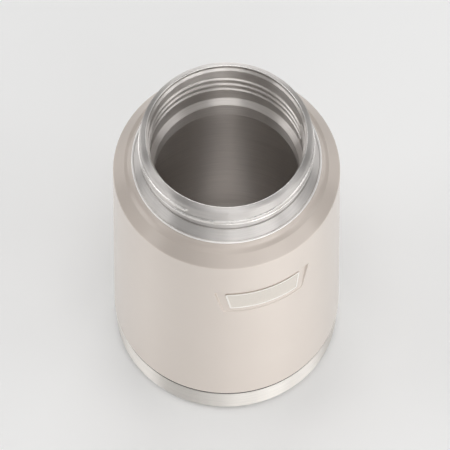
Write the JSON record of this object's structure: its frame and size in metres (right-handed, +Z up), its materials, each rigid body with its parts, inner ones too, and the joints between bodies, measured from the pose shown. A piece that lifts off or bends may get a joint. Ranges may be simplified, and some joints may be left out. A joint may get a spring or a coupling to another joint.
{
  "type": "insulated food jar",
  "caption": "Open vacuum-insulated food jar: painted steel body with sloping shoulder, threaded steel neck over a wide mouth, food pot inside and brushed steel base.",
  "frame": {"origin": "centre of the foot's underside, on the surface that the jar stands on", "axes": "+Z up along the jar's axis, towards the mouth; the badge recess faces -Y"},
  "size_m": [0.105, 0.105, 0.1696],
  "materials": {
    "powder_coat": "fine satin powder coat, warm greige",
    "badge_metal": "satin, bare, with a bright rim",
    "turned_steel": "fine turned satin, polished at the lip",
    "liner_steel": "electropolished over fine turning",
    "brushed_base": "brushed round the band",
    "foil": "bright foil",
    "getter": "porous sintered",
    "seal_glass": "fused solder glass",
    "dark_silicone": "matte",
    "adhesive": "matte"
  },
  "bodies": {
    "root": {"outer_shell": "powder_coat", "badge_plate": "badge_metal", "badge_glue": "adhesive", "collar_ring": "turned_steel", "neck_sleeve": "turned_steel", "liner_neck": "liner_steel", "liner_pot": "liner_steel", "foil_wrap": "foil", "foil_disc": "foil", "getter_clip": "liner_steel", "getter_pellet": "getter", "vacuum_bottom": "liner_steel", "vacuum_seal": "seal_glass", "seam_ring": "dark_silicone", "base_cup": "brushed_base", "base_glue": "adhesive", "foot_pad": "dark_silicone"}
  },
  "joints": []
}
